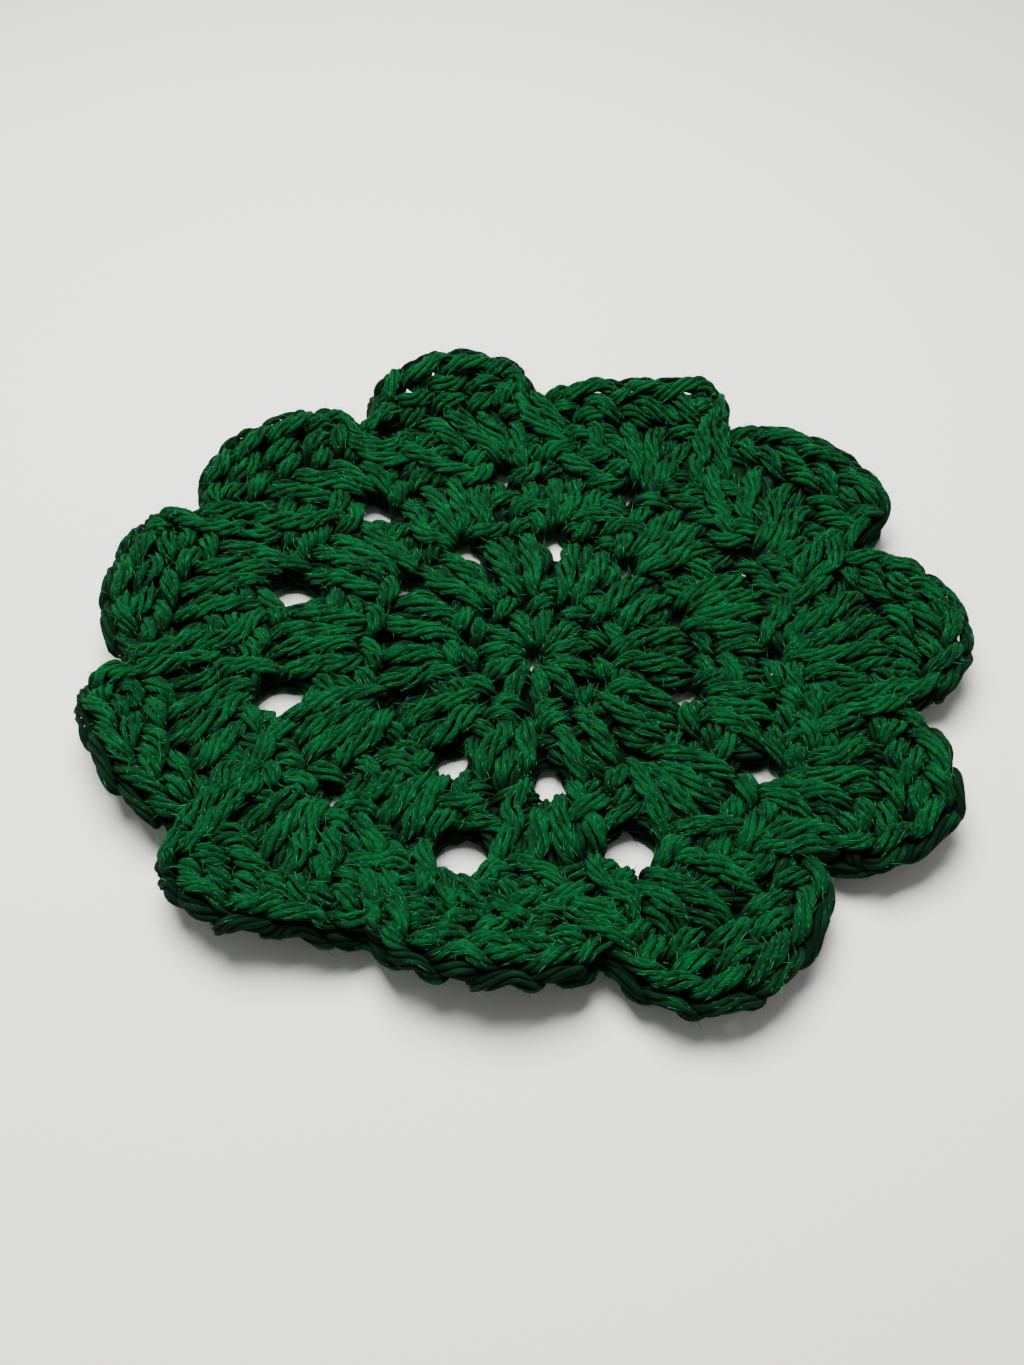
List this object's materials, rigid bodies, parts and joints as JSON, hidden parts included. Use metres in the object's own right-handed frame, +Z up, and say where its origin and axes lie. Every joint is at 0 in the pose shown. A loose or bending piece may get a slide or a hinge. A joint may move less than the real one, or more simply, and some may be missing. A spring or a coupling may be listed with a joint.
{
  "type": "crochet coaster",
  "caption": "Round crocheted cotton coaster with a petalled rim that curls up and rings of small gaps between its fans of stitches.",
  "frame": {"origin": "centre of the bounding box in plan, on the surface that the coaster lies on; the centre ring of the stitches is at x +0.9 mm, y -2.3 mm", "axes": "+Z up out of the front of the stitches, +X to the right in the picture, +Y away from the camera"},
  "size_m": [0.1124, 0.105, 0.0114],
  "materials": {
    "cotton_yarn": "matte, soft, loosely plied cotton yarn with fine fuzz"
  },
  "bodies": {
    "root": {"coaster": "cotton_yarn"}
  },
  "joints": []
}
